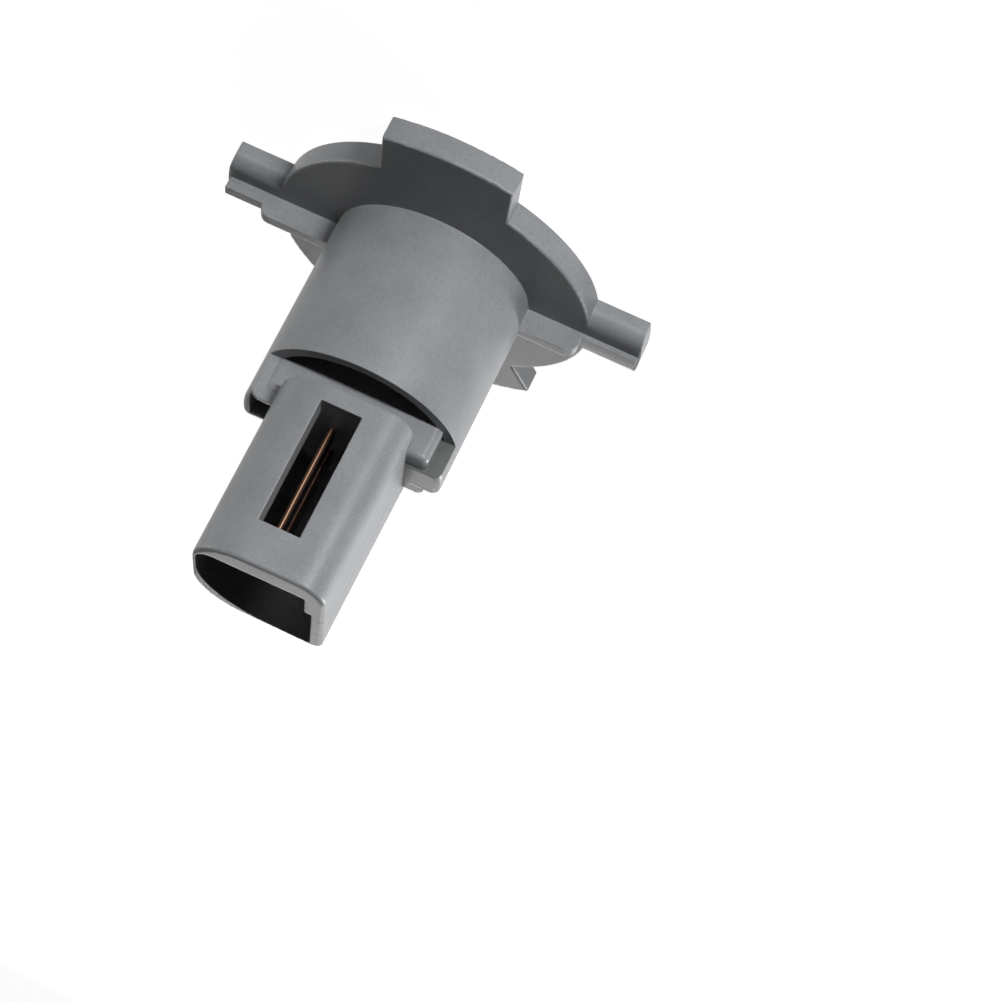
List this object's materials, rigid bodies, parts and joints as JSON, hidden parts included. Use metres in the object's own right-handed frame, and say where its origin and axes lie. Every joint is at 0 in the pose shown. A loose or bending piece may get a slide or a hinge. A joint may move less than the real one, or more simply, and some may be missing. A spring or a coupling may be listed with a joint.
{
  "type": "license plate bulb socket",
  "caption": "Twist-lock lamp socket: a tabbed disc flange, a thin round barrel that holds a wedge-base bulb, and a shrouded two-way connector on its back.",
  "frame": {"origin": "centre of the bulb opening, in the plane of the flange's front face", "axes": "+Z along the barrel from the bulb side to the connector; -Y through the middle of the wide tab; +X and -X through the narrow tabs"},
  "size_m": [0.0332, 0.032, 0.0307],
  "materials": {
    "housing": "fine spark-eroded grain, moulded",
    "contact": "bare copper alloy strip"
  },
  "bodies": {
    "root": {"housing": "housing", "near_contact": "contact", "far_contact": "contact"}
  },
  "joints": []
}
